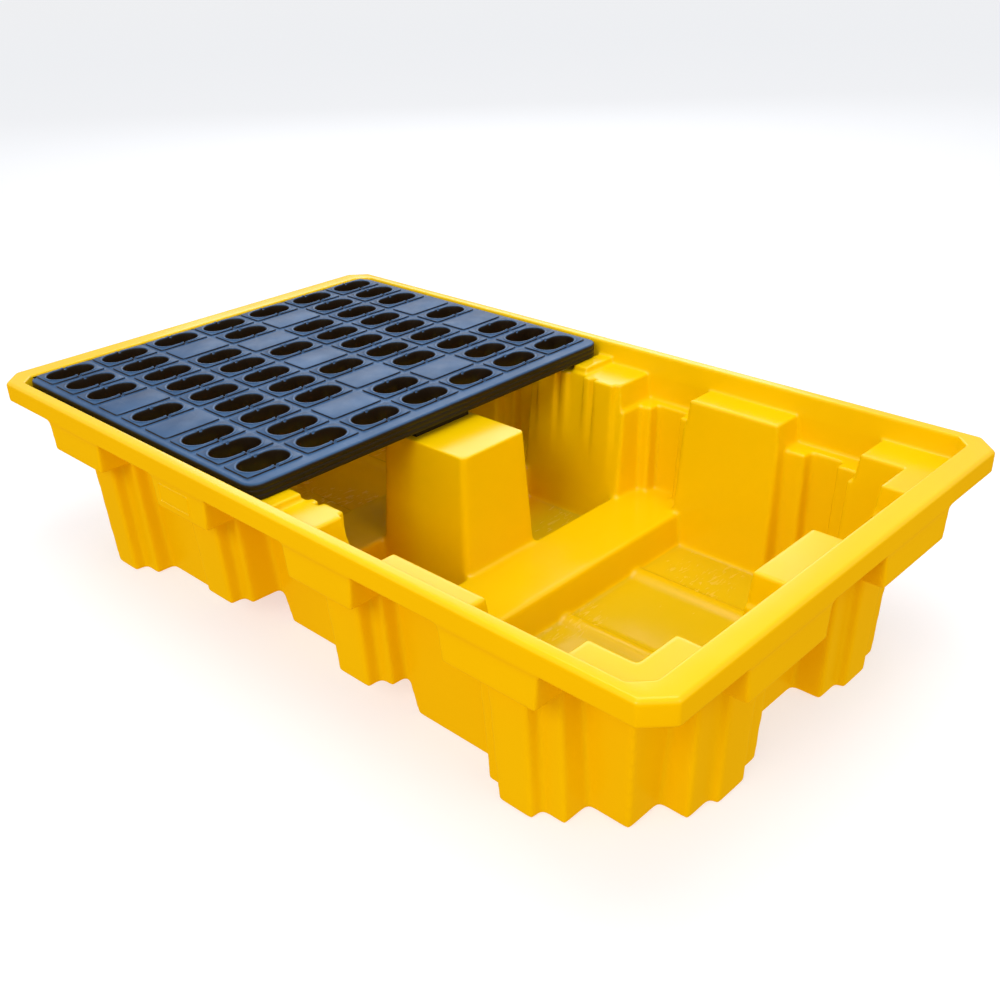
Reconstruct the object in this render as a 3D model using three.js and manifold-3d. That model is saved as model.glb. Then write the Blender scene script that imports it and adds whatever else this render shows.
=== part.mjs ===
// Two-drum spill containment pallet: a one-piece moulded sump tray and a lift-off deck grate.
// Millimetres, +Z up, X along the long side. The origin is on the ground under the middle of the tray.
import * as THREE from "three";
import { LoftGeometry } from "three/addons/geometries/LoftGeometry.js";
import { mergeVertices } from "three/addons/utils/BufferGeometryUtils.js";
import Module from "manifold-3d";

const wasm = await Module();
wasm.setup();

// ---- driving dimensions of the tray ----
const LENGTH = 1300; // over the rim
const WIDTH = 756;
const RIM_TOP = 280;
const WALL = 6; // moulded wall
const CORNER_CUT = 29; // bevel across each corner of the rim, in plan
const RIM_EDGE = 4; // bevel along the rim's upper outer edge
const LIP_DROP = 33; // the turned-down lip
const MOUTH_LENGTH = 1230; // clear opening inside the rim
const MOUTH_WIDTH = 718;
const MOUTH_CUT = 20;
const MOUTH_DRAFT = 3; // the mouth narrows by this much down to the ledges

const LEDGE = RIM_TOP - LIP_DROP; // seats of the grates
const POCKET_FLOOR = 205; // shelf inside each drop block
const BLOCK_BOTTOM = POCKET_FLOOR - WALL;
const FORK_HEIGHT = 54; // clear height of the fork channels

// ---- deck grate ----
const GRATE_TOP = RIM_TOP + 5;
const GRATE_X = [-606, -8];
const GRATE_WIDTH = 700;
const GRATE_CORNER = 22;
const PANEL_RAISE = 1.5;
const GRATE_UNDERSIDE = RIM_TOP - 22.6;
const COLUMNS = 9;
const ROWS = 7;
const COLUMN_PITCH = 64.2;
const ROW_PITCH = 97.6;
const GRID_CENTRE_X = -314.5;
const PANEL = [54, 90];
const SLOT = [41, 76];
const SLOT_ARC_STEPS = 5;
const GAP = 0.3; // clearance where the grate rests on the tray

// Cells with no slot, counted from the short end and from the front; the pattern mirrors both ways.
const BLANK_CELLS = [[3, 0], [1, 2], [2, 3], [4, 3]];

// ---- solids as stacks of outlines ----
// Every piece is a stack of layers from the bottom up. A layer is a height z and an outline of
// [x, y] points, counter-clockwise from above; straight sides run from each layer to the next.

function solidFrom(geometry) {
  const bare = new THREE.BufferGeometry();
  bare.setAttribute("position", geometry.getAttribute("position"));
  bare.setIndex(geometry.getIndex());
  const merged = mergeVertices(bare, 1e-4);
  return new wasm.Manifold(new wasm.Mesh({
    numProp: 3,
    vertProperties: merged.attributes.position.array,
    triVerts: new Uint32Array(merged.index.array),
  }));
}

function loft(stack) {
  const sections = stack.map(({ z, outline }) =>
    outline.map(([x, y]) => new THREE.Vector3(x, y, z)),
  );
  return solidFrom(new LoftGeometry(sections, { capStart: true, capEnd: true }));
}

function join(stacks) {
  return stacks.map(loft).reduce((whole, piece) => whole.add(piece));
}

// The same stack moved, and stacks together with their mirror images.
function moved(stack, dx, dy) {
  return stack.map(({ z, outline }) => ({ z, outline: outline.map(([x, y]) => [x + dx, y + dy]) }));
}

function mirrored(stack, sx, sy) {
  return stack.map(({ z, outline }) => ({
    z,
    outline: outline.map(([x, y]) => [sx * x, sy * y]).reverse(),
  }));
}

function acrossX(stacks) {
  return [...stacks, ...stacks.map((stack) => mirrored(stack, -1, 1))];
}

function acrossY(stacks) {
  return [...stacks, ...stacks.map((stack) => mirrored(stack, 1, -1))];
}

function fourCorners(stacks) {
  return acrossY(acrossX(stacks));
}

function rectangle(x, y) {
  return [[x[0], y[0]], [x[1], y[0]], [x[1], y[1]], [x[0], y[1]]];
}

// A box whose sides lean out by flare = [west, east, south, north] from its bottom to its top.
function flaredBox(x, y, z, flare) {
  const [west, east, south, north] = flare;
  return [
    { z: z[0], outline: rectangle(x, y) },
    { z: z[1], outline: rectangle([x[0] - west, x[1] + east], [y[0] - south, y[1] + north]) },
  ];
}

function box(x, y, z) {
  return flaredBox(x, y, z, [0, 0, 0, 0]);
}

// A rectangle about the origin with its four corners cut off at 45 degrees.
function cutRectangle(halfX, halfY, cut) {
  return [
    [halfX, halfY - cut],
    [halfX - cut, halfY],
    [-halfX + cut, halfY],
    [-halfX, halfY - cut],
    [-halfX, -halfY + cut],
    [-halfX + cut, -halfY],
    [halfX - cut, -halfY],
    [halfX, -halfY + cut],
  ];
}

// Layers are [halfX, halfY, cut, z].
function cutStack(layers) {
  return layers.map(([halfX, halfY, cut, z]) => ({ z, outline: cutRectangle(halfX, halfY, cut) }));
}

// ---- the tray's stepped side wall ----
// Every wall piece is a flared box that reaches inwards to the middle; the outside and the
// inside of the moulding are the same boxes, the inside ones smaller by the wall thickness.

// Across the ends: half width at the foot, how far it leans out, and the wall's distance out.
const BAY = { reach: 287, lean: 22, from: 97, to: 435 };
const MIDDLE = { reach: 260, lean: 30 };
const END = { reach: 540, lean: 15 };
const CORNER = { reachX: 541, reachY: 275, lean: 22 };

// Stepped columns under the drop blocks: a narrow face in front of a wider shoulder.
const COLUMN_LEAN = 10;
const SIDE_LEAN = 4;
const OUTER_COLUMN = { centre: 422, face: [27, 335], shoulder: [60, 316], foot: 0 };
const INNER_COLUMN = { centre: 148, face: [30, 338], shoulder: [51, 317], foot: FORK_HEIGHT };
const END_COLUMN = { centre: 146.5, face: [28.5, 592], shoulder: [71.5, 581], foot: 0 };

// Drop blocks hang from the lip: centre along the rim and half width at the bottom.
const BLOCK_FLARE = 5;
const INNER_BLOCK = { centre: 147, half: 60 };
const OUTER_BLOCK = { centre: 426, half: 68 };
const END_BLOCK = { centre: 145.5, half: 79.5 };
const BLOCK_PLANE = { front: 376, end: 648 }; // outer faces
const BLOCK_ROOT = { front: 240, end: 500 }; // well inside the side walls

function alongFront(centre, half, reach, z, lean, sideLean, inset) {
  return flaredBox(
    [centre - half + inset, centre + half - inset],
    [0, reach - inset],
    z,
    [sideLean, sideLean, 0, lean],
  );
}

function alongEnd(centre, half, reach, z, lean, sideLean, inset) {
  return flaredBox(
    [0, reach - inset],
    [centre - half + inset, centre + half - inset],
    z,
    [0, lean, sideLean, sideLean],
  );
}

function steppedColumn(place, column, top, inset) {
  const z = [column.foot + inset, top];
  return [column.face, column.shoulder].map(([half, reach]) =>
    place(column.centre, half, reach, z, COLUMN_LEAN, SIDE_LEAN, inset),
  );
}

// The stepped body from the floor to the ledges, inset 0 for its outside.
function steppedBody(inset, top, columnTop) {
  const z = [inset, top];
  const core = flaredBox(
    [0, END.reach - inset],
    [0, MIDDLE.reach - inset],
    z,
    [0, END.lean, 0, MIDDLE.lean],
  );
  const bay = flaredBox(
    [BAY.from + inset, BAY.to - inset],
    [0, BAY.reach - inset],
    z,
    [SIDE_LEAN, 0, 0, BAY.lean],
  );
  const corner = flaredBox(
    [300, CORNER.reachX - inset],
    [END_COLUMN.centre, CORNER.reachY - inset],
    z,
    [0, CORNER.lean, 0, CORNER.lean],
  );
  return fourCorners([
    core,
    bay,
    corner,
    ...steppedColumn(alongFront, OUTER_COLUMN, columnTop, inset),
    ...steppedColumn(alongFront, INNER_COLUMN, columnTop, inset),
    ...steppedColumn(alongEnd, END_COLUMN, columnTop, inset),
  ]);
}

// Each drop block: widening from its bottom up to the ledges, then straight up into the rim.
// The grow, from, to and z values make its outside or the pocket behind it.
function blockStacks({ grow, from, to, z }) {
  const stack = (place, { centre, half }, start, end) => {
    const lower = [centre - half - grow, centre + half + grow];
    const upper = [lower[0] - BLOCK_FLARE, lower[1] + BLOCK_FLARE];
    return [[z[0], lower], [z[1], upper], [z[2], upper]].map(([height, across]) => ({
      z: height,
      outline: place(across, [start, end]),
    }));
  };
  const front = (across, out) => rectangle(across, out);
  const side = (across, out) => rectangle(out, across);
  return fourCorners([
    stack(front, INNER_BLOCK, from.front, to.front),
    stack(front, OUTER_BLOCK, from.front, to.front),
    stack(side, END_BLOCK, from.end, to.end),
  ]);
}

function dropBlocks() {
  return blockStacks({
    grow: 0,
    from: BLOCK_ROOT,
    to: BLOCK_PLANE,
    z: [BLOCK_BOTTOM, LEDGE, RIM_TOP - WALL / 2],
  });
}

// The pockets behind the drop blocks, open to the mouth of the tray.
function pockets() {
  return blockStacks({
    grow: -WALL,
    from: BLOCK_ROOT,
    to: { front: MOUTH_WIDTH / 2 - MOUTH_DRAFT, end: MOUTH_LENGTH / 2 - MOUTH_DRAFT },
    z: [POCKET_FLOOR, LEDGE, RIM_TOP],
  });
}

// Hollow spaces inside the drop blocks, joined to the gutter under the rim.
function blockHollows() {
  return blockStacks({
    grow: -WALL,
    from: { front: MOUTH_WIDTH / 2 + WALL, end: MOUTH_LENGTH / 2 + WALL },
    to: { front: BLOCK_PLANE.front - WALL, end: BLOCK_PLANE.end - WALL },
    z: [POCKET_FLOOR, LEDGE, RIM_TOP - WALL],
  });
}

function mouth() {
  const halfX = MOUTH_LENGTH / 2;
  const halfY = MOUTH_WIDTH / 2;
  return cutStack([
    [halfX - MOUTH_DRAFT, halfY - MOUTH_DRAFT, MOUTH_CUT, LEDGE],
    [halfX, halfY, MOUTH_CUT, RIM_TOP],
    [halfX, halfY, MOUTH_CUT, RIM_TOP + 1],
  ]);
}

// ---- rim ----

// The hollow under the rim, between the turned-down lip and the curb around the mouth.
function lipGutter(bottom) {
  const top = RIM_TOP - WALL;
  const outer = [LENGTH / 2 - WALL, WIDTH / 2 - WALL, CORNER_CUT - 2];
  const curb = [MOUTH_LENGTH / 2 + WALL, MOUTH_WIDTH / 2 + WALL, MOUTH_CUT + 3];
  const whole = loft(cutStack([[...outer, bottom], [...outer, top]]));
  return whole.subtract(loft(cutStack([[...curb, bottom - 1], [...curb, top + 1]])));
}

function rimSolid() {
  const halfX = LENGTH / 2;
  const halfY = WIDTH / 2;
  const curb = [MOUTH_LENGTH / 2 + WALL, MOUTH_WIDTH / 2 + WALL, MOUTH_CUT + 3];
  const slab = loft(cutStack([
    [halfX, halfY, CORNER_CUT, LEDGE],
    [halfX, halfY, CORNER_CUT, RIM_TOP - RIM_EDGE],
    [halfX - RIM_EDGE, halfY - RIM_EDGE, CORNER_CUT - RIM_EDGE / 2, RIM_TOP],
  ]));
  return slab
    .subtract(lipGutter(LEDGE - 1))
    .add(loft(cutStack([[...curb, LEDGE - WALL], [...curb, RIM_TOP - 1]])));
}

// ---- fork channels, centre post and floor beads ----

const FORK = { top: [97, 199], lean: [7, 9], reach: 400 };
const POST_TOP = 244;
const POST_HALF = [84, 64]; // at the top
const POST_LEAN = [11, 14]; // wider by this at the floor
const POST_CAVITY_FOOT = [83, 70];
const BEAD = { rows: [-168, 0, 168], from: 205, to: 536, width: 28, height: 7, steps: 4 };

// The fork channels under the tray; grown by the wall they become the ridges on the sump floor.
function forkSpaces(grow) {
  const x = [FORK.top[0] - grow, FORK.top[1] + grow];
  const foot = [x[0] - FORK.lean[0], x[1] + FORK.lean[1]];
  const y = [-FORK.reach, FORK.reach];
  return acrossX([[
    { z: -1, outline: rectangle(foot, y) },
    { z: FORK_HEIGHT + grow, outline: rectangle(x, y) },
  ]]);
}

function postOutside() {
  return cutStack([
    [POST_HALF[0] + POST_LEAN[0], POST_HALF[1] + POST_LEAN[1], 6, 0],
    [POST_HALF[0], POST_HALF[1], 6, POST_TOP],
  ]);
}

function postCavity() {
  return cutStack([
    [...POST_CAVITY_FOOT, 4, -1],
    [POST_HALF[0] - WALL, POST_HALF[1] - WALL, 4, POST_TOP - WALL],
  ]);
}

// Low rounded beads that run along the sump floor from each ridge to the end wall.
function floorBeads() {
  const bead = (y) => [
    { z: WALL - 1, outline: rectangle([BEAD.from, BEAD.to], [y - BEAD.width / 2, y + BEAD.width / 2]) },
    ...Array.from({ length: BEAD.steps }, (_, i) => {
      const angle = (Math.PI / 2) * (i / BEAD.steps);
      const half = (BEAD.width / 2) * Math.cos(angle);
      const z = WALL + BEAD.height * Math.sin(angle);
      return { z, outline: rectangle([BEAD.from, BEAD.to], [y - half, y + half]) };
    }),
  ];
  return acrossX(BEAD.rows.map(bead));
}

// ---- ribbed seats in the middle of the long sides, where two grates meet ----

const SEAT_RIB_FOOT = 75;
const SEAT_RIB_LEAN = 11;
const SEAT_RIBS = [
  { x: [17, 31], face: 276 },
  { x: [40, 79], face: 274 },
];
const CENTRE_RIB = { half: 14, face: 289, top: RIM_TOP - 23 };

function seatRibs() {
  const back = MOUTH_WIDTH / 2;
  const ribs = SEAT_RIBS.map(({ x, face }) => [
    { z: SEAT_RIB_FOOT, outline: rectangle(x, [face - SEAT_RIB_LEAN, face - 4]) },
    { z: LEDGE, outline: rectangle(x, [face, back]) },
  ]);
  const centre = box(
    [-CENTRE_RIB.half, CENTRE_RIB.half],
    [CENTRE_RIB.face, back],
    [LEDGE - WALL, CENTRE_RIB.top],
  );
  return [...fourCorners(ribs), ...acrossY([centre])];
}

// ---- blank identification panel on one drop block of the front ----

const ID_PANEL = { centre: -157, size: [74, 30], z: 226, raise: 1 };

function idPanel() {
  const halfX = ID_PANEL.size[0] / 2;
  const halfZ = ID_PANEL.size[1] / 2;
  return box(
    [ID_PANEL.centre - halfX, ID_PANEL.centre + halfX],
    [-BLOCK_PLANE.front - ID_PANEL.raise, -BLOCK_PLANE.front + 1],
    [ID_PANEL.z - halfZ, ID_PANEL.z + halfZ],
  );
}

function traySolid() {
  const outside = join([...steppedBody(0, LEDGE, BLOCK_BOTTOM + 1), ...dropBlocks(), idPanel()]);
  const sump = join([...steppedBody(WALL, LEDGE + 1, POCKET_FLOOR + 1), ...pockets(), mouth()]);
  const risers = join([...forkSpaces(WALL), postOutside(), ...floorBeads(), ...seatRibs()]);
  const undersides = join([...forkSpaces(0), postCavity(), ...blockHollows()]);
  return outside
    .add(rimSolid())
    .subtract(sump.subtract(risers))
    .subtract(undersides)
    .subtract(lipGutter(LEDGE + WALL));
}

// ---- deck grate ----

// Points of a quarter circle about [cx, cy], starting at the given quarter turn.
function quarterArc(cx, cy, radius, quarter, steps) {
  return Array.from({ length: steps + 1 }, (_, i) => {
    const angle = (Math.PI / 2) * (quarter + i / steps);
    return [cx + radius * Math.cos(angle), cy + radius * Math.sin(angle)];
  });
}

function roundedRectangle(halfX, halfY, radius, steps) {
  const x = halfX - radius;
  const y = halfY - radius;
  return [
    ...quarterArc(x, y, radius, 0, steps),
    ...quarterArc(-x, y, radius, 1, steps),
    ...quarterArc(-x, -y, radius, 2, steps),
    ...quarterArc(x, -y, radius, 3, steps),
  ];
}

// A slot is longer across the pallet than along it, with half-round ends.
function slotStack() {
  const radius = SLOT[0] / 2;
  const straight = SLOT[1] / 2 - radius;
  const outline = [0, 1].flatMap((end) =>
    Array.from({ length: SLOT_ARC_STEPS + 1 }, (_, i) => {
      const angle = Math.PI * (end + i / SLOT_ARC_STEPS);
      const side = end ? -straight : straight;
      return [radius * Math.cos(angle), side + radius * Math.sin(angle)];
    }),
  );
  return [{ z: POST_TOP - 10, outline }, { z: GRATE_TOP + 10, outline }];
}

function isBlank(column, row) {
  const mirroredColumn = Math.min(column, COLUMNS - 1 - column);
  const mirroredRow = Math.min(row, ROWS - 1 - row);
  return BLANK_CELLS.some(([c, r]) => c === mirroredColumn && r === mirroredRow);
}

function grateCells() {
  const cells = [];
  for (let column = 0; column < COLUMNS; column++) {
    for (let row = 0; row < ROWS; row++) {
      const x = GRID_CENTRE_X + (column - (COLUMNS - 1) / 2) * COLUMN_PITCH;
      const y = (row - (ROWS - 1) / 2) * ROW_PITCH;
      cells.push({ x, y, blank: isBlank(column, row) });
    }
  }
  return cells;
}

// Pads under the deck that stand on the tray's ledges: x range, y range.
const LEDGE_PADS = [
  { x: [-598, -503], y: [298, 340] },
  { x: [-352, -220], y: [309, 340] },
  { x: [-76, -43], y: [281, 340] },
];
const END_PAD = { x: [-598, -558], y: [-52, 52] };
const POST_PAD = { x: [-74, -22], y: [-54, 54] };

function gratePads() {
  const top = GRATE_UNDERSIDE + 1;
  const ledge = [LEDGE + GAP, top];
  return [
    ...acrossY(LEDGE_PADS.map(({ x, y }) => box(x, y, ledge))),
    box(END_PAD.x, END_PAD.y, ledge),
    box(POST_PAD.x, POST_PAD.y, [POST_TOP + GAP, top]),
  ];
}

function grateSolid() {
  const halfX = (GRATE_X[1] - GRATE_X[0]) / 2;
  const centreX = (GRATE_X[1] + GRATE_X[0]) / 2;
  const deckTop = GRATE_TOP - PANEL_RAISE;
  const outline = roundedRectangle(halfX, GRATE_WIDTH / 2, GRATE_CORNER, 5);
  const slab = [{ z: GRATE_UNDERSIDE, outline }, { z: deckTop, outline }];
  const cells = grateCells();
  const panels = cells.map(({ x, y }) => box(
    [x - PANEL[0] / 2, x + PANEL[0] / 2],
    [y - PANEL[1] / 2, y + PANEL[1] / 2],
    [deckTop - 1, GRATE_TOP],
  ));
  const slots = cells.filter(({ blank }) => !blank).map(({ x, y }) => moved(slotStack(), x, y));
  return join([moved(slab, centreX, 0), ...panels, ...gratePads()]).subtract(join(slots));
}

// ---- meshes ----

function toMesh(solid, name, material) {
  const raw = solid.getMesh();
  const positions = new Float32Array(raw.numVert * 3);
  for (let i = 0; i < raw.numVert; i++) {
    for (let axis = 0; axis < 3; axis++) {
      positions[3 * i + axis] = raw.vertProperties[raw.numProp * i + axis];
    }
  }
  const indexed = new THREE.BufferGeometry();
  indexed.setAttribute("position", new THREE.BufferAttribute(positions, 3));
  indexed.setIndex(new THREE.BufferAttribute(new Uint32Array(raw.triVerts), 1));
  const geometry = indexed.toNonIndexed();
  geometry.computeVertexNormals();
  const mesh = new THREE.Mesh(geometry, material);
  mesh.name = name;
  return mesh;
}

const yellowPolyethylene = new THREE.MeshStandardMaterial({ color: 0xf5b800, roughness: 0.38 });
const darkPolyethylene = new THREE.MeshStandardMaterial({ color: 0x23282f, roughness: 0.5 });

const pallet = new THREE.Group();
pallet.name = "spill_containment_pallet";
pallet.add(toMesh(traySolid(), "sump_tray", yellowPolyethylene));
pallet.add(toMesh(grateSolid(), "deck_grate", darkPolyethylene));

export default pallet;
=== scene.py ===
"""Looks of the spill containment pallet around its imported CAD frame. Metres, +Z up."""

import math

import bmesh
import bpy
from mathutils import Matrix, Vector


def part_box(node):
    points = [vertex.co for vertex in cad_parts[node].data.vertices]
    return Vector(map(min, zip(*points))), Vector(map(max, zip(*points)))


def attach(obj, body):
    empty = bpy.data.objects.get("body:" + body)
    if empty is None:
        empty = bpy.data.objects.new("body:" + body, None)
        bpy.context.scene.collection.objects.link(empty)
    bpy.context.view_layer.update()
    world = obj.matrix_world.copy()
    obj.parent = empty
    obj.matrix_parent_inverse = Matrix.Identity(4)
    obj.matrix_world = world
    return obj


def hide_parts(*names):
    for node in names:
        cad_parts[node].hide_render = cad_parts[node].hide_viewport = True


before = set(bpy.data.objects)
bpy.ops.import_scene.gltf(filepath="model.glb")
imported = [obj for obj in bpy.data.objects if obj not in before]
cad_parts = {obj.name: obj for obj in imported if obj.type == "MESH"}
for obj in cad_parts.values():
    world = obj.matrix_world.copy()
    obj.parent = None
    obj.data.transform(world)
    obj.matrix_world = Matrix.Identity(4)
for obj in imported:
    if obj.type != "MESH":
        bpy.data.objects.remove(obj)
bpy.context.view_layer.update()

MM = 0.001
SAME = 1e-6  # places closer together than this are the same place

# ---- camera ----
CAMERA_AT = (1.11816, -1.05913, 0.92322)
CAMERA_AZIMUTH = 44.14  # degrees
CAMERA_ELEVATION = 27.41
CAMERA_ROLL = -1.864
LENS_MM = 41.209
SENSOR_MM = 36.0

# ---- stage ----
STAGE_FLAT = 8.0  # radius of the flat floor
STAGE_CURVE = 7.0
STAGE_TOP = 20.0
STAGE_STEPS = 12
STAGE_SIDES = 96
FLOOR_COLOUR = (0.50, 0.505, 0.52)
FLOOR_GLOW = (0.95, 0.975, 1.0)
FLOOR_GLOW_STRENGTH = 0.58

# ---- light ----
SKY = (0.58, 0.58, 0.60)
GROUND_GLOW = (0.86, 0.52, 0.02)  # strong yellow light from below the horizon, on the outer walls
HORIZON = (-0.15, 0.35)  # heights of the view direction between which one turns into the other
LIGHTS_FACE = (0, 0, 0.2)  # the point that every light faces
LIGHTS = [  # name, place, size, power in watts, tint
    ("overhead", (0.1, 0.2, 3.0), (2.4, 2.0), 45, (1.0, 0.91, 0.88)),
    ("front", (0.9, -3.0, 2.3), (1.6, 1.2), 44, (1.0, 0.91, 0.78)),
    ("right", (3.2, -0.5, 2.2), (1.2, 1.2), 15, (1.0, 0.91, 0.78)),
    ("far_sky", (-2.6, 2.7, 2.1), (3.2, 1.6), 32, (0.90, 0.94, 1.0)),
]

# ---- colours ----
YELLOWS = ((0.88, 0.575, 0.0), (0.91, 0.61, 0.0))
GRATE_SHADE_YELLOW = (0.84, 0.45, 0.0)  # the tray's walls under the deck grate, deeper orange as painted shade of the grate
SUMP_FLOOR_YELLOWS = ((0.71, 0.50, 0.003), (0.80, 0.39, 0.0))  # open half, covered half; the covered half is deeper orange as painted shade of the deck grate
SCUFF_COLOUR = (0.95, 0.80, 0.42)
SCUFF_SHARE = 0.16
YELLOW_GLOSS_TINT = (1.0, 0.78, 0.60)
YELLOW_ROUGHNESS = (0.19, 0.27)
YELLOW_IOR = 1.5
SCUFF_ROUGHNESS = 0.3  # added where a scuff is full
# Near-black plastic; its brown tint is painted bounce light from the yellow tray.
DARK_COLOUR = (0.016, 0.009, 0.004)
# Slate blues of the dark plastic's upward faces: a painted reflection of a pale blue sky.
SLATES = ((0.025, 0.074, 0.175), (0.038, 0.104, 0.235))
STREAK_COLOUR = (0.14, 0.20, 0.29)
STREAK_SHARE = 0.25
DARK_GLOSS_TINT = (0.55, 0.78, 1.0)
DARK_ROUGHNESS = (0.31, 0.43)
DARK_IOR = 1.34
# Each pair below gives where a patch of colour begins and where it is full.
COVERED_FROM = (0.0, -0.08)  # x
COVERED_TO = (-0.535, -0.525)  # x
COVERED_SIDES = (0.262, 0.250)  # distance from the middle line
SUMP_FLOOR_LEVEL = (0.020, 0.008)  # height
FACING_UP = (0.6, 0.9)  # upward share of the surface's direction
# upward share where the painted sky reflection on the dark plastic begins and where it is full
SKY_SHEEN_UP = (0.45, 0.92)

# ---- tray surface ----
TRAY_VOXEL = 2.0 * MM
TRAY_ROUNDING = 8  # smoothing steps everywhere
TRAY_BODY_ROUNDING = 45  # further steps on the walls below the drop blocks and ledges
TRAY_BODY_FADE = (0.150, 0.264)  # heights between which those steps fade out
TRAY_TRIANGLES = 190_000
LABEL_CENTRE = (-157 * MM, 226 * MM)  # x and z of the blank label outline on the front
LABEL_SIZE = (70 * MM, 27 * MM)
LABEL_FACE = -376.4 * MM
LABEL_CORNER = 3 * MM
LABEL_BEAD = (1.0 * MM, 1.3 * MM)  # half width, height
LABEL_CORNER_STEPS = 6
LABEL_BEAD_SIDES = 9

# ---- deck grate ----
COLUMNS = 9
ROWS = 7
COLUMN_PITCH = 64.2 * MM
ROW_PITCH = 97.6 * MM
GRID_CENTRE_X = -314.5 * MM
PANEL = (54 * MM, 90 * MM)
PANEL_CORNER = 2.5 * MM
PANEL_RAISE = 2.6 * MM
SLOT = (41 * MM, 76 * MM)
SLOT_DRAFT = 1.5 * MM  # a slot narrows by this towards the underside
GRATE_CORNER = 22 * MM
GRATE_EDGE = 4 * MM  # rounding of the deck's outer top edge
GRATE_UNDERSIDE = 257.4 * MM  # the plate's underside; the pads stand below it
SIDE_LINES = (0.36, 0.68)  # thin lines round the deck's side, as shares of the way down
SIDE_LINE_DEPTH = 0.5 * MM
PAD_EDGE = 1.5 * MM
PAD_OVERLAP = 1 * MM  # how far a pad reaches into the plate
PAD_CUT = 0.2 * MM  # the pads are cut from the CAD grate this far below the plate
RING_RISE = 0.8 * MM  # height of the raised ring round each slot
BLANK_CELLS = {(3, 0), (1, 2), (2, 3), (4, 3)}  # mirrored both ways
SHORT_STEPS = 10  # steps along the short side of a cell
ARC_SHARE = 3  # steps of each long side that turn with the slot's round ends
# Points along the straight side of a slot, with a small nib and a recess beside it at mid-length.
SIDE_PLACES = [place * MM for place in (-17.5, -13, -8.5, -4.4, -3.4, -0.6, 0.4, 4.0, 4.9, 9, 12, 15)]
NIB_PLACES = (-3.4 * MM, -0.6 * MM)
RECESS_PLACES = (0.4 * MM, 4.0 * MM)
NIB_RISE = 0.8 * MM
RECESS_DROP = 2.4 * MM


# ---- small helpers ----

def add_object(name, mesh):
    obj = bpy.data.objects.new(name, mesh)
    bpy.context.scene.collection.objects.link(obj)
    return obj


def evaluated_mesh(obj):
    """The object's mesh with its modifiers applied."""
    depsgraph = bpy.context.evaluated_depsgraph_get()
    return bpy.data.meshes.new_from_object(obj.evaluated_get(depsgraph))


def apply_modifiers(obj):
    mesh = evaluated_mesh(obj)
    obj.modifiers.clear()
    obj.data = mesh


def shade_smooth(obj):
    for polygon in obj.data.polygons:
        polygon.use_smooth = True


# ---- camera, floor and lights ----

def make_camera():
    azimuth = math.radians(CAMERA_AZIMUTH)
    elevation = math.radians(CAMERA_ELEVATION)
    roll = math.radians(CAMERA_ROLL)
    right = Vector((math.cos(azimuth), math.sin(azimuth), 0))
    back = Vector((
        math.sin(azimuth) * math.cos(elevation),
        -math.cos(azimuth) * math.cos(elevation),
        math.sin(elevation),
    ))
    up = back.cross(right)
    turned_right = right * math.cos(roll) + up * math.sin(roll)
    turned_up = up * math.cos(roll) - right * math.sin(roll)
    data = bpy.data.cameras.new("camera")
    data.lens = LENS_MM
    data.sensor_width = SENSOR_MM
    data.clip_start = 0.05
    data.clip_end = 100
    camera = bpy.data.objects.new("camera", data)
    rotation = Matrix((turned_right, turned_up, back)).transposed()
    camera.matrix_world = Matrix.Translation(CAMERA_AT) @ rotation.to_4x4()
    bpy.context.scene.collection.objects.link(camera)
    bpy.context.scene.camera = camera


def make_floor():
    """A plain pale floor that curves up, far behind the pallet, into a pale wall all round."""
    profile = [(0.0, 0.0)]
    for step in range(STAGE_STEPS + 1):
        turn = math.pi / 2 * step / STAGE_STEPS
        profile.append((
            STAGE_FLAT + STAGE_CURVE * math.sin(turn),
            STAGE_CURVE * (1 - math.cos(turn)),
        ))
    profile.append((STAGE_FLAT + STAGE_CURVE, STAGE_TOP))
    skin = bmesh.new()
    points = [skin.verts.new((radius, 0, z)) for radius, z in profile]
    edges = [skin.edges.new(pair) for pair in zip(points, points[1:])]
    bmesh.ops.spin(
        skin, geom=points + edges, axis=(0, 0, 1), cent=(0, 0, 0), angle=2 * math.pi,
        steps=STAGE_SIDES, use_merge=True,
    )
    bmesh.ops.remove_doubles(skin, verts=skin.verts, dist=MM)
    bmesh.ops.recalc_face_normals(skin, faces=skin.faces)
    mesh = bpy.data.meshes.new("studio_floor")
    skin.to_mesh(mesh)
    skin.free()
    floor = add_object("studio_floor", mesh)
    shade_smooth(floor)
    material = bpy.data.materials.new("studio_white")
    material.use_nodes = True
    shader = material.node_tree.nodes["Principled BSDF"]
    shader.inputs["Base Color"].default_value = (*FLOOR_COLOUR, 1)
    shader.inputs["Roughness"].default_value = 0.9
    shader.inputs["Specular IOR Level"].default_value = 0.0
    shader.inputs["Emission Color"].default_value = (*FLOOR_GLOW, 1)
    shader.inputs["Emission Strength"].default_value = FLOOR_GLOW_STRENGTH
    mesh.materials.append(material)
    # The floor catches shadows but neither throws light back nor holds back the glow from below.
    floor.visible_diffuse = False
    floor.visible_glossy = False
    floor.visible_shadow = False


def make_light(name, at, target, size, power, colour):
    data = bpy.data.lights.new(name, "AREA")
    data.shape = "RECTANGLE"
    data.size, data.size_y = size
    data.energy = power
    data.color = colour
    light = bpy.data.objects.new(name, data)
    direction = Vector(target) - Vector(at)
    light.location = at
    light.rotation_euler = direction.to_track_quat("-Z", "Y").to_euler()
    bpy.context.scene.collection.objects.link(light)


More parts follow.
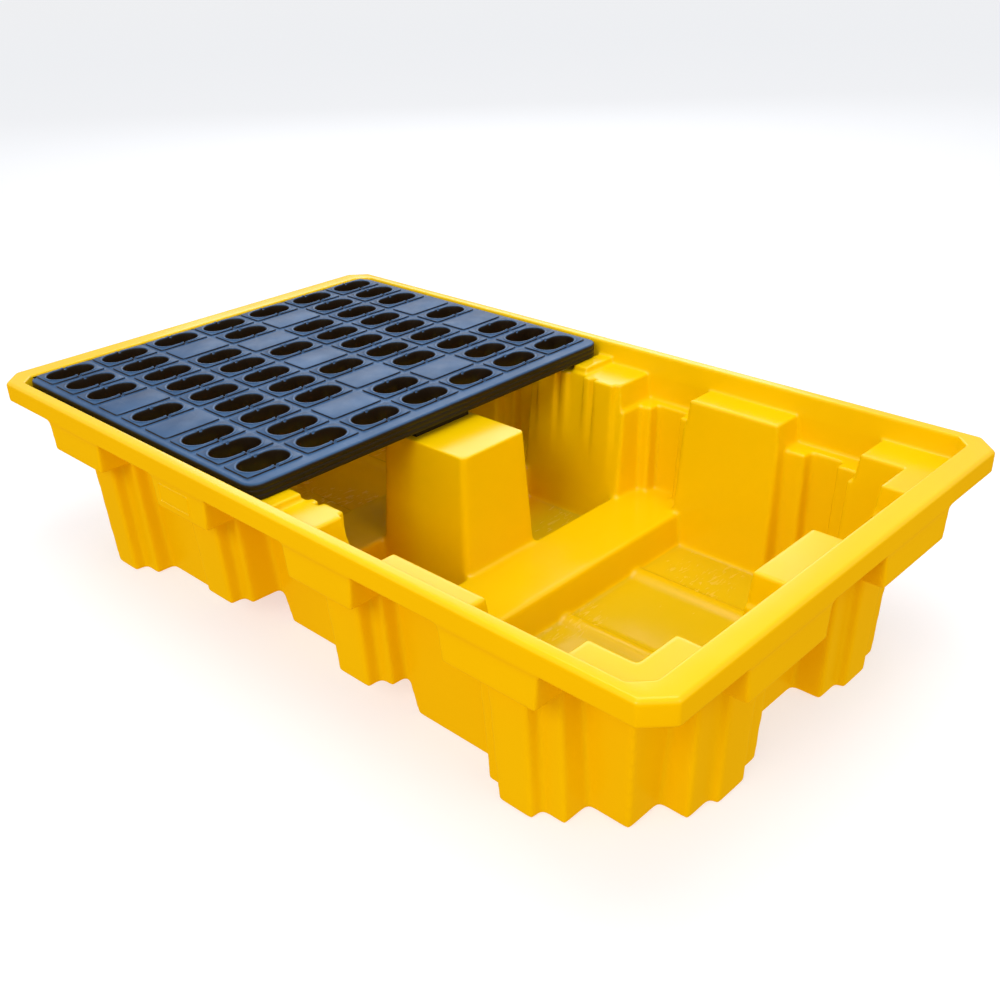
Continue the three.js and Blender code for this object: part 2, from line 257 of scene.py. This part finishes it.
def make_world():
    """An even, nearly neutral sky above and a yellow fill light below the horizon."""
    world = bpy.data.worlds.new("studio")
    bpy.context.scene.world = world
    world.use_nodes = True
    tree = world.node_tree
    direction = tree.nodes.new("ShaderNodeTexCoord")
    split = tree.nodes.new("ShaderNodeSeparateXYZ")
    rise = tree.nodes.new("ShaderNodeMapRange")
    rise.inputs["From Min"].default_value = HORIZON[0]
    rise.inputs["From Max"].default_value = HORIZON[1]
    colour = tree.nodes.new("ShaderNodeMix")
    colour.data_type = "RGBA"
    colour.inputs[6].default_value = (*GROUND_GLOW, 1)
    colour.inputs[7].default_value = (*SKY, 1)
    background = tree.nodes["Background"]
    tree.links.new(direction.outputs["Generated"], split.inputs["Vector"])
    tree.links.new(split.outputs["Z"], rise.inputs["Value"])
    tree.links.new(rise.outputs["Result"], colour.inputs[0])
    tree.links.new(colour.outputs[2], background.inputs["Color"])


def make_lighting():
    make_world()
    for name, at, size, power, tint in LIGHTS:
        make_light(name, at, LIGHTS_FACE, size, power, tint)
    bpy.context.scene.view_settings.view_transform = "Standard"


# ---- materials ----

class Nodes:
    """Short calls for building a shader's node tree."""

    def __init__(self, name):
        self.material = bpy.data.materials.new(name)
        self.material.use_nodes = True
        self.tree = self.material.node_tree
        self.shader = self.tree.nodes["Principled BSDF"]
        self.place = self.tree.nodes.new("ShaderNodeTexCoord").outputs["Object"]

    def link(self, source, socket):
        self.tree.links.new(source, socket)

    def noise(self, scale, detail=4, stretch=(1, 1, 1), distortion=0.0):
        mapping = self.tree.nodes.new("ShaderNodeMapping")
        mapping.inputs["Scale"].default_value = stretch
        self.link(self.place, mapping.inputs["Vector"])
        noise = self.tree.nodes.new("ShaderNodeTexNoise")
        noise.inputs["Scale"].default_value = scale
        noise.inputs["Detail"].default_value = detail
        noise.inputs["Distortion"].default_value = distortion
        self.link(mapping.outputs["Vector"], noise.inputs["Vector"])
        return noise.outputs["Fac"]

    def ramp(self, value, low, high, to_low=0.0, to_high=1.0):
        node = self.tree.nodes.new("ShaderNodeMapRange")
        node.inputs["From Min"].default_value = low
        node.inputs["From Max"].default_value = high
        node.inputs["To Min"].default_value = to_low
        node.inputs["To Max"].default_value = to_high
        self.link(value, node.inputs["Value"])
        return node.outputs["Result"]

    def maths(self, operation, a, b):
        node = self.tree.nodes.new("ShaderNodeMath")
        node.operation = operation
        for socket, value in zip(node.inputs, (a, b)):
            if isinstance(value, (int, float)):
                socket.default_value = value
            else:
                self.link(value, socket)
        return node.outputs["Value"]

    def mix(self, factor, a, b):
        node = self.tree.nodes.new("ShaderNodeMix")
        node.data_type = "RGBA"
        self.link(factor, node.inputs[0])
        for socket, value in zip((node.inputs[6], node.inputs[7]), (a, b)):
            if isinstance(value, tuple):
                socket.default_value = (*value, 1)
            else:
                self.link(value, socket)
        return node.outputs[2]

    def axis(self, source, letter):
        node = self.tree.nodes.new("ShaderNodeSeparateXYZ")
        self.link(source, node.inputs["Vector"])
        return node.outputs[letter]

    def upward(self):
        """How far the surface faces up, from -1 to 1."""
        geometry = self.tree.nodes.new("ShaderNodeNewGeometry")
        return self.axis(geometry.outputs["Normal"], "Z")

    def bump(self, layers):
        """Bump from (height, strength, distance in metres) layers."""
        normal = None
        for height, strength, distance in layers:
            node = self.tree.nodes.new("ShaderNodeBump")
            node.inputs["Strength"].default_value = strength
            node.inputs["Distance"].default_value = distance
            self.link(height, node.inputs["Height"])
            if normal is not None:
                self.link(normal, node.inputs["Normal"])
            normal = node.outputs["Normal"]
        self.link(normal, self.shader.inputs["Normal"])


def yellow_polyethylene():
    """Glossy rotationally moulded plastic: faint orange peel, colour drift, scuffs on the sump floor,
    and painted shade under the deck grate.
    """
    n = Nodes("yellow_polyethylene")
    drift = n.ramp(n.noise(3.0, detail=3), 0.35, 0.65)
    colour = n.mix(drift, *YELLOWS)
    # Painted shade of the deck grate: deeper orange under it, more so on the floor. It is set by place,
    # so it stays when the grate lifts.
    away = n.maths("ABSOLUTE", n.axis(n.place, "Y"), 0.0)
    along = n.axis(n.place, "X")
    covered = n.maths("MULTIPLY", n.ramp(along, *COVERED_FROM), n.ramp(along, *COVERED_TO))
    inside = n.maths("MULTIPLY", covered, n.ramp(away, *COVERED_SIDES))
    colour = n.mix(inside, colour, GRATE_SHADE_YELLOW)
    facing_up = n.ramp(n.upward(), *FACING_UP)
    low = n.ramp(n.axis(n.place, "Z"), *SUMP_FLOOR_LEVEL)
    sump_floor = n.maths("MULTIPLY", low, facing_up)
    # The sump floor's covered half is deeper orange as painted shade of the deck grate.
    floor_colour = n.mix(covered, *SUMP_FLOOR_YELLOWS)
    colour = n.mix(sump_floor, colour, floor_colour)
    scratches = n.ramp(n.noise(170.0, detail=6, stretch=(1, 0.3, 1), distortion=0.8), 0.55, 0.72)
    patches = n.ramp(n.noise(7.0, detail=4), 0.50, 0.62)
    scuffs = n.maths("MULTIPLY", n.maths("MULTIPLY", scratches, patches), sump_floor)
    colour = n.mix(n.maths("MULTIPLY", scuffs, SCUFF_SHARE), colour, SCUFF_COLOUR)
    n.link(colour, n.shader.inputs["Base Color"])
    mottle = n.ramp(n.noise(24.0, detail=5), 0.3, 0.7, *YELLOW_ROUGHNESS)
    scuffed = n.maths("MULTIPLY", scuffs, SCUFF_ROUGHNESS)
    n.link(n.maths("ADD", mottle, scuffed), n.shader.inputs["Roughness"])
    n.shader.inputs["IOR"].default_value = YELLOW_IOR
    n.shader.inputs["Specular Tint"].default_value = (*YELLOW_GLOSS_TINT, 1)
    n.bump([  # orange peel: a slow waviness and a fine grain
        (n.noise(7.0, detail=1), 0.05, 1.5 * MM),
        (n.noise(700.0, detail=3), 0.02, 0.1 * MM),
    ])
    return n.material


def dark_polyethylene():
    """Near-black moulded plastic with a fine grain, and slate blue where it faces up as a painted
    reflection of a pale blue sky.
    """
    n = Nodes("dark_polyethylene")
    # Painted reflection of a pale blue sky: slate blue on upward faces, near-black on the sides.
    sky_sheen = n.ramp(n.upward(), *SKY_SHEEN_UP)
    drift = n.ramp(n.noise(14.0, detail=6), 0.35, 0.7)
    slate = n.mix(drift, *SLATES)
    colour = n.mix(sky_sheen, DARK_COLOUR, slate)
    streaks = n.ramp(n.noise(60.0, detail=6, stretch=(1, 6, 1), distortion=0.5), 0.62, 0.72)
    marks = n.maths("MULTIPLY", n.maths("MULTIPLY", streaks, sky_sheen), STREAK_SHARE)
    colour = n.mix(marks, colour, STREAK_COLOUR)
    n.link(colour, n.shader.inputs["Base Color"])
    mottle = n.ramp(n.noise(30.0, detail=6), 0.3, 0.7, *DARK_ROUGHNESS)
    n.link(mottle, n.shader.inputs["Roughness"])
    n.shader.inputs["IOR"].default_value = DARK_IOR
    n.shader.inputs["Specular Tint"].default_value = (*DARK_GLOSS_TINT, 1)
    n.bump([
        (n.noise(260.0, detail=4), 0.12, 0.25 * MM),
        (n.noise(1400.0, detail=2), 0.10, 0.1 * MM),
    ])
    return n.material


# ---- sump tray ----

def welded_copy(node):
    """A copy of a CAD node's mesh with its coincident points joined."""
    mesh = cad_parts[node].data.copy()
    welded = bmesh.new()
    welded.from_mesh(mesh)
    bmesh.ops.remove_doubles(welded, verts=welded.verts, dist=0.01 * MM)
    welded.to_mesh(mesh)
    welded.free()
    return mesh


def add_rounding(obj, steps, group=""):
    """Smooth the object's mesh, or only the named vertex group of it."""
    rounding = obj.modifiers.new("rounding", "SMOOTH")
    rounding.factor = 0.5
    rounding.iterations = steps
    rounding.vertex_group = group


def mark_body(obj):
    """Vertex group body: the walls and floor, fading out towards the ledges."""
    low, high = TRAY_BODY_FADE
    body = obj.vertex_groups.new(name="body")
    weights = {}
    for vertex in obj.data.vertices:
        share = min(max((high - vertex.co.z) / (high - low), 0.0), 1.0)
        weights.setdefault(round(share, 2), []).append(vertex.index)
    for share, members in weights.items():
        body.add(members, share, "REPLACE")


def make_tray(material):
    """The tray's own shape with every edge and inside corner rounded as a moulding's are."""
    fine = add_object("fine_tray", welded_copy("sump_tray"))
    remesh = fine.modifiers.new("skin", "REMESH")
    remesh.mode = "VOXEL"
    remesh.voxel_size = TRAY_VOXEL
    add_rounding(fine, TRAY_ROUNDING)
    apply_modifiers(fine)
    mark_body(fine)
    add_rounding(fine, TRAY_BODY_ROUNDING, "body")
    apply_modifiers(fine)
    shade_smooth(fine)

    tray = add_object("moulded_tray", fine.data.copy())
    thinning = tray.modifiers.new("thinning", "DECIMATE")
    thinning.ratio = TRAY_TRIANGLES / (2 * len(tray.data.polygons))
    apply_modifiers(tray)
    shade_smooth(tray)
    normals = tray.modifiers.new("normals_of_fine_tray", "DATA_TRANSFER")
    normals.object = fine
    normals.use_loop_data = True
    normals.data_types_loops = {"CUSTOM_NORMAL"}
    normals.loop_mapping = "POLYINTERP_NEAREST"
    apply_modifiers(tray)
    bpy.data.objects.remove(fine)
    tray.data.materials.clear()
    tray.data.materials.append(material)
    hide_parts("sump_tray")
    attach(tray, "tray")


def rounded_rectangle(size, corner, steps):
    """(x, z, outward direction) points round a rectangle with round corners."""
    half_x = size[0] / 2 - corner
    half_z = size[1] / 2 - corner
    points = []
    for quarter, (sign_x, sign_z) in enumerate([(1, 1), (-1, 1), (-1, -1), (1, -1)]):
        for step in range(steps + 1):
            turn = (quarter + step / steps) * math.pi / 2
            away = (math.cos(turn), math.sin(turn))
            points.append((sign_x * half_x + corner * away[0], sign_z * half_z + corner * away[1], away))
    return points


def make_label_outline(material):
    """A thin moulded bead round a blank label on the front of the tray."""
    half_width, height = LABEL_BEAD
    skin = bmesh.new()
    sections = []
    for x, z, away in rounded_rectangle(LABEL_SIZE, LABEL_CORNER, LABEL_CORNER_STEPS):
        section = []
        for step in range(LABEL_BEAD_SIDES):
            turn = 2 * math.pi * step / LABEL_BEAD_SIDES
            side = half_width * math.cos(turn)
            section.append(skin.verts.new((
                LABEL_CENTRE[0] + x + side * away[0],
                LABEL_FACE - height * math.sin(turn),
                LABEL_CENTRE[1] + z + side * away[1],
            )))
        sections.append(section)
    for here, there in zip(sections, sections[1:] + sections[:1]):
        for i in range(len(here)):
            j = (i + 1) % len(here)
            skin.faces.new((here[i], here[j], there[j], there[i]))
    bmesh.ops.recalc_face_normals(skin, faces=skin.faces)
    mesh = bpy.data.meshes.new("label_outline")
    skin.to_mesh(mesh)
    skin.free()
    outline = add_object("label_outline", mesh)
    shade_smooth(outline)
    mesh.materials.append(material)
    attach(outline, "tray")


# ---- deck grate ----

def is_blank(column, row):
    return (min(column, COLUMNS - 1 - column), min(row, ROWS - 1 - row)) in BLANK_CELLS


def long_side(half):
    """Places along a cell's long side from -half to +half, without the last one."""
    low = SIDE_PLACES[0]
    high = -low
    lower = [-half + (low + half) * i / ARC_SHARE for i in range(ARC_SHARE)]
    upper = [high + (half - high) * i / ARC_SHARE for i in range(ARC_SHARE)]
    return lower + SIDE_PLACES + upper


def short_side(half):
    return [-half + 2 * half * i / SHORT_STEPS for i in range(SHORT_STEPS)]


def reverse_side(places, half):
    """The same places walked from +half down to -half, without the last one."""
    return [half] + places[:0:-1]


def box_outline(half_x, half_y):
    """Points round a rectangle, counter-clockwise from its low x, low y corner."""
    across = short_side(half_x)
    along = long_side(half_y)
    points = [(x, -half_y) for x in across]
    points += [(half_x, y) for y in along]
    points += [(x, half_y) for x in reverse_side(across, half_x)]
    points += [(-half_x, y) for y in reverse_side(along, half_y)]
    return points


def cell_border():
    return box_outline(COLUMN_PITCH / 2, ROW_PITCH / 2)


def rounded_panel(grow, corner):
    """The panel's outline grown by grow, with its corner points drawn in onto round corners."""
    half_x = PANEL[0] / 2 + grow
    half_y = PANEL[1] / 2 + grow
    cut = corner * (1 - math.sqrt(0.5))
    return [
        (math.copysign(half_x - cut, x), math.copysign(half_y - cut, y))
        if abs(abs(x) - half_x) < SAME and abs(abs(y) - half_y) < SAME
        else (x, y)
        for x, y in box_outline(half_x, half_y)
    ]


def slot_outline(grow):
    """The slot's outline grown by grow, point for point with a cell's border."""
    radius = SLOT[0] / 2 + grow
    straight = -SIDE_PLACES[0]
    arc_steps = SHORT_STEPS + 2 * ARC_SHARE
    arc = [math.pi * (1 + i / arc_steps) for i in range(arc_steps)]
    points = [(radius * math.cos(t), -straight + radius * math.sin(t)) for t in arc]
    points += [(radius, y) for y in SIDE_PLACES]
    points += [(-radius * math.cos(t), straight - radius * math.sin(t)) for t in arc]
    points += [(-radius, y) for y in reverse_side(SIDE_PLACES, straight)]
    # The arc starts ARC_SHARE steps before the first corner of the cell.
    return points[ARC_SHARE:] + points[:ARC_SHARE]


def nib_height(x, y, half_x):
    """Height added near the middle of a long side by its nib and recess."""
    if abs(x) < half_x:
        return 0.0
    if any(abs(y - place) < SAME for place in NIB_PLACES):
        return NIB_RISE
    if any(abs(y - place) < SAME for place in RECESS_PLACES):
        return -RECESS_DROP
    return 0.0


class Skin:
    """A mesh grown ring by ring."""

    def __init__(self):
        self.mesh = bmesh.new()

    def ring(self, outline, z, centre=(0, 0), relief=0.0):
        """One loop of points at height z; relief scales the nibs and recesses of the long sides."""
        return [
            self.mesh.verts.new((
                x + centre[0],
                y + centre[1],
                z + (relief * nib_height(x, y, SLOT[0] / 2 - SLOT_DRAFT) if relief else 0.0),
            ))
            for x, y in outline
        ]

    def bridge(self, outer, inner):
        count = len(outer)
        for i in range(count):
            j = (i + 1) % count
            self.mesh.faces.new((outer[i], outer[j], inner[j], inner[i]))

    def stack(self, rings):
        for outer, inner in zip(rings, rings[1:]):
            self.bridge(outer, inner)


def add_cell(skin, centre, blank, top, bottom):
    """One cell of the deck: groove, raised panel and, unless blank, its slot down to the underside."""
    base = top - PANEL_RAISE
    relief = 0.0 if blank else 1.0
    panel = [  # distance out from the panel's edge, height, share of the nib and recess
        (0.5, base, 0.0),
        (0.1, base + 0.3 * MM, 0.0),
        (-0.1, top - 0.7 * MM, 0.6),
        (-0.4, top - 0.2 * MM, 0.9),
        (-1.1, top, 1.0),
    ]
    rings = [skin.ring(cell_border(), base, centre)]
    for grow, z, share in panel:
        rings.append(skin.ring(rounded_panel(grow * MM, PANEL_CORNER), z, centre, relief * share))
    if blank:
        skin.stack(rings)
        skin.mesh.faces.new(rings[-1])
        under = skin.ring(cell_border(), bottom, centre)
        skin.mesh.faces.new(list(reversed(under)))
        return
    ring = RING_RISE
    profile = [  # distance out from the slot's edge, height above the panel, share of the nib
        (5.0, 0.0, 1.0),
        (4.7, 0.6 * ring, 1.0),
        (4.2, ring, 1.0),
        (2.4, ring, 1.0),
        (1.6, 0.75 * ring, 1.0),
        (0.8, 0.1 * MM, 0.9),
        (0.3, -1.0 * MM, 0.6),
        (0.0, -2.6 * MM, 0.2),
        (-0.25, -6.0 * MM, 0.0),
    ]
    for grow, rise, share in profile:
        rings.append(skin.ring(slot_outline(grow * MM), top + rise, centre, share))
    rings.append(skin.ring(slot_outline(-SLOT_DRAFT), bottom + 1.0 * MM, centre))
    rings.append(skin.ring(slot_outline(0.8 * MM - SLOT_DRAFT), bottom, centre))
    rings.append(skin.ring(cell_border(), bottom, centre))
    skin.stack(rings)


def outer_outline(border, inset):
    """For each point of the grid's border, its partner on the deck's rounded outline."""
    low, high = (Vector(corner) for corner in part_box("deck_grate"))
    centre = Vector(((low.x + high.x) / 2, (low.y + high.y) / 2))
    half = Vector(((high.x - low.x) / 2, (high.y - low.y) / 2))
    radius = GRATE_CORNER
    span = Vector((COLUMNS * COLUMN_PITCH / 2, ROWS * ROW_PITCH / 2))
    outline = []
    for x, y in border:
        local = Vector((x - GRID_CENTRE_X, y))
        u = local.x / span.x
        v = local.y / span.y
        point = Vector((u * half.x, v * half.y))
        corner = Vector((half.x - radius, half.y - radius))
        if abs(point.x) > corner.x and abs(point.y) > corner.y:
            away = Vector((abs(point.x) - corner.x, abs(point.y) - corner.y))
            away.normalize()
            point = Vector((
                math.copysign(corner.x + away.x * (radius - inset), point.x),
                math.copysign(corner.y + away.y * (radius - inset), point.y),
            ))
        else:
            if abs(u) >= 1 - SAME:
                point.x = math.copysign(half.x - inset, point.x)
            if abs(v) >= 1 - SAME:
                point.y = math.copysign(half.y - inset, point.y)
        outline.append((centre.x + point.x, centre.y + point.y))
    return outline


def grid_border():
    """The grid's outer border, point by point, counter-clockwise."""
    half_x = COLUMNS * COLUMN_PITCH / 2
    half_y = ROWS * ROW_PITCH / 2
    across = [
        (column - (COLUMNS - 1) / 2) * COLUMN_PITCH + x
        for column in range(COLUMNS)
        for x in short_side(COLUMN_PITCH / 2)
    ]
    along = [
        (row - (ROWS - 1) / 2) * ROW_PITCH + y
        for row in range(ROWS)
        for y in long_side(ROW_PITCH / 2)
    ]
    points = [(x, -half_y) for x in across]
    points += [(half_x, y) for y in along]
    points += [(x, half_y) for x in reverse_side(across, half_x)]
    points += [(-half_x, y) for y in reverse_side(along, half_y)]
    return [(x + GRID_CENTRE_X, y) for x, y in points]


def add_pads(skin):
    """The pads under the plate, cut from the CAD grate and given rounded edges."""
    pads = bmesh.new()
    pads.from_mesh(welded_copy("deck_grate"))
    geometry = list(pads.verts) + list(pads.edges) + list(pads.faces)
    bmesh.ops.bisect_plane(
        pads, geom=geometry, dist=0.001 * MM, plane_co=(0, 0, GRATE_UNDERSIDE - PAD_CUT),
        plane_no=(0, 0, 1), clear_outer=True,
    )
    bmesh.ops.holes_fill(pads, edges=[edge for edge in pads.edges if edge.is_boundary])
    bmesh.ops.dissolve_limit(pads, angle_limit=math.radians(1), verts=pads.verts, edges=pads.edges)
    for vertex in pads.verts:
        if vertex.co.z > GRATE_UNDERSIDE - PAD_OVERLAP:
            vertex.co.z = GRATE_UNDERSIDE + PAD_OVERLAP
    bmesh.ops.bevel(
        pads, geom=list(pads.edges), offset=PAD_EDGE, segments=3, profile=0.5, affect="EDGES",
        clamp_overlap=True,
    )
    mesh = bpy.data.meshes.new("pads")
    pads.to_mesh(mesh)
    pads.free()
    skin.mesh.from_mesh(mesh)


def make_grate(material):
    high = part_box("deck_grate")[1]
    top = high[2] - NIB_RISE - RING_RISE
    bottom = GRATE_UNDERSIDE
    base = top - PANEL_RAISE
    skin = Skin()
    for column in range(COLUMNS):
        for row in range(ROWS):
            centre = (
                GRID_CENTRE_X + (column - (COLUMNS - 1) / 2) * COLUMN_PITCH,
                (row - (ROWS - 1) / 2) * ROW_PITCH,
            )
            add_cell(skin, centre, is_blank(column, row), top, bottom)
    border = grid_border()
    profile = [  # inset from the deck's side, height
        (GRATE_EDGE + 1 * MM, base),
        (GRATE_EDGE, base),
        (GRATE_EDGE * 0.45, base - GRATE_EDGE * 0.16),
        (GRATE_EDGE * 0.12, base - GRATE_EDGE * 0.5),
        (0.0, base - GRATE_EDGE),
    ]
    for share in SIDE_LINES:
        level = base - share * (base - bottom)
        profile += [
            (0.0, level + 0.7 * MM),
            (SIDE_LINE_DEPTH, level + 0.2 * MM),
            (SIDE_LINE_DEPTH, level - 0.2 * MM),
            (0.0, level - 0.7 * MM),
        ]
    profile += [(0.0, bottom + 2 * MM), (0.6 * MM, bottom + 0.6 * MM), (2.0 * MM, bottom)]
    rings = [skin.ring(border, base)]
    rings += [skin.ring(outer_outline(border, inset), z) for inset, z in profile]
    rings.append(skin.ring(border, bottom))
    skin.stack([list(reversed(ring)) for ring in rings])
    bmesh.ops.remove_doubles(skin.mesh, verts=skin.mesh.verts, dist=0.02 * MM)
    add_pads(skin)
    bmesh.ops.recalc_face_normals(skin.mesh, faces=skin.mesh.faces)
    mesh = bpy.data.meshes.new("moulded_grate")
    skin.mesh.to_mesh(mesh)
    skin.mesh.free()
    grate = add_object("moulded_grate", mesh)
    shade_smooth(grate)
    mesh.set_sharp_from_angle(angle=math.radians(40))
    mesh.materials.append(material)
    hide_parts("deck_grate")
    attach(grate, "grate")


make_camera()
make_floor()
make_lighting()
YELLOW = yellow_polyethylene()
DARK = dark_polyethylene()
make_tray(YELLOW)
make_label_outline(YELLOW)
make_grate(DARK)
